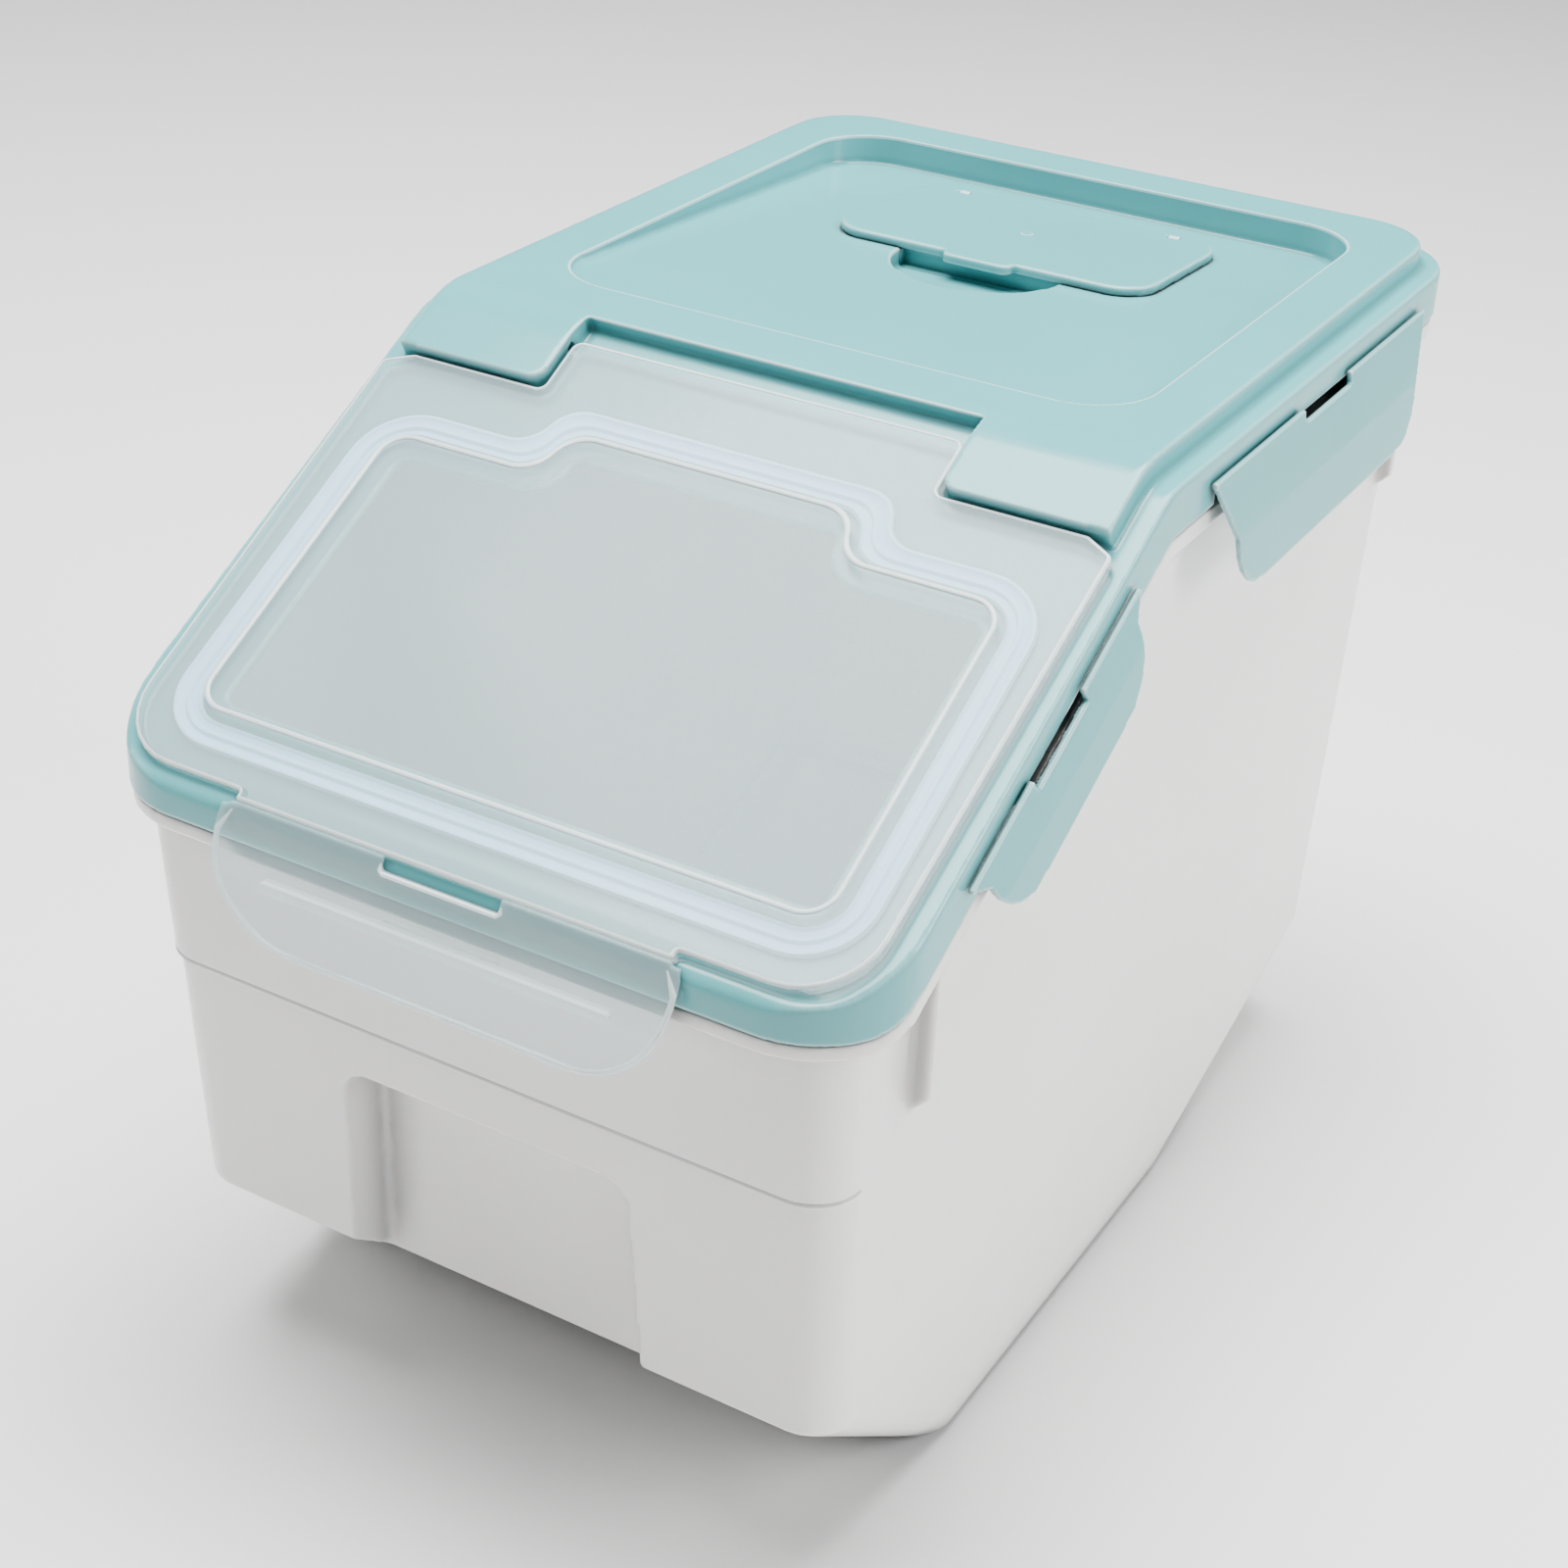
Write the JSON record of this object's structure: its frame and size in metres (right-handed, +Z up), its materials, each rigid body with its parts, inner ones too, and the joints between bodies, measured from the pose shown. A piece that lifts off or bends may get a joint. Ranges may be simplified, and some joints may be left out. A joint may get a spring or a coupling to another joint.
{
  "type": "rice bin",
  "caption": "Tapered storage tub with a lid frame that slopes down to a clear flip lid over the scooping mouth, flap latches, and a covered compartment on the level back deck.",
  "frame": {"origin": "below the middle of the whole bin, on the floor", "axes": "+Z up, +Y to the back, +X to the right when seen from the front"},
  "size_m": [0.2376, 0.3714, 0.2684],
  "materials": {
    "tub_plastic": "smooth warm grey-white moulding",
    "frame_plastic": "glossy pale aqua moulding",
    "latch_plastic": "glossy pale aqua moulding",
    "lid_plastic": "clear aqua-tinted plastic",
    "clear_latch": "milky aqua-tinted clear plastic",
    "seal_rubber": "soft pale blue-white seal"
  },
  "bodies": {
    "tub": {"tub": "tub_plastic"},
    "frame": {"lid_frame": "frame_plastic", "rim_gasket": "seal_rubber", "compartment_box": "frame_plastic"},
    "lid": {"flip_lid": "lid_plastic", "lid_seal": "seal_rubber"},
    "front_latch": {"front_latch": "clear_latch"},
    "latch_right_front": {"latch_right_front": "latch_plastic"},
    "latch_right_rear": {"latch_right_rear": "latch_plastic"},
    "latch_left_front": {"latch_left_front": "latch_plastic"},
    "latch_left_rear": {"latch_left_rear": "latch_plastic"},
    "cover": {"compartment_cover": "frame_plastic"}
  },
  "joints": [
    {"name": "frame_lift", "type": "slide", "parent": "tub", "child": "frame", "axis": [0, 0, 1], "range_m": [0, 0.12]},
    {"name": "lid_hinge", "type": "hinge", "parent": "frame", "child": "lid", "pos_m": [0, -0.03832, 0.26126], "axis": [-1, 0, 0], "range_deg": [0, 120]},
    {"name": "front_latch_hinge", "type": "hinge", "parent": "lid", "child": "front_latch", "pos_m": [0, -0.17668, 0.18775], "axis": [-1, 0, 0], "range_deg": [0, 110]},
    {"name": "right_front_latch_hinge", "type": "hinge", "parent": "frame", "child": "latch_right_front", "pos_m": [0.1123, -0.09141, 0.22215], "axis": [0, -0.8796, -0.4756], "range_deg": [0, 110]},
    {"name": "left_front_latch_hinge", "type": "hinge", "parent": "frame", "child": "latch_left_front", "pos_m": [-0.1123, -0.09141, 0.22215], "axis": [0, 0.8796, 0.4756], "range_deg": [0, 110]},
    {"name": "right_rear_latch_hinge", "type": "hinge", "parent": "frame", "child": "latch_right_rear", "pos_m": [0.1123, 0.06822, 0.255], "axis": [0, -1, 0], "range_deg": [0, 110]},
    {"name": "left_rear_latch_hinge", "type": "hinge", "parent": "frame", "child": "latch_left_rear", "pos_m": [-0.1123, 0.06822, 0.255], "axis": [0, 1, 0], "range_deg": [0, 110]},
    {"name": "cover_hinge", "type": "hinge", "parent": "frame", "child": "cover", "pos_m": [0, 0.14237, 0.26091], "axis": [-1, 0, 0], "range_deg": [0, 100]}
  ]
}
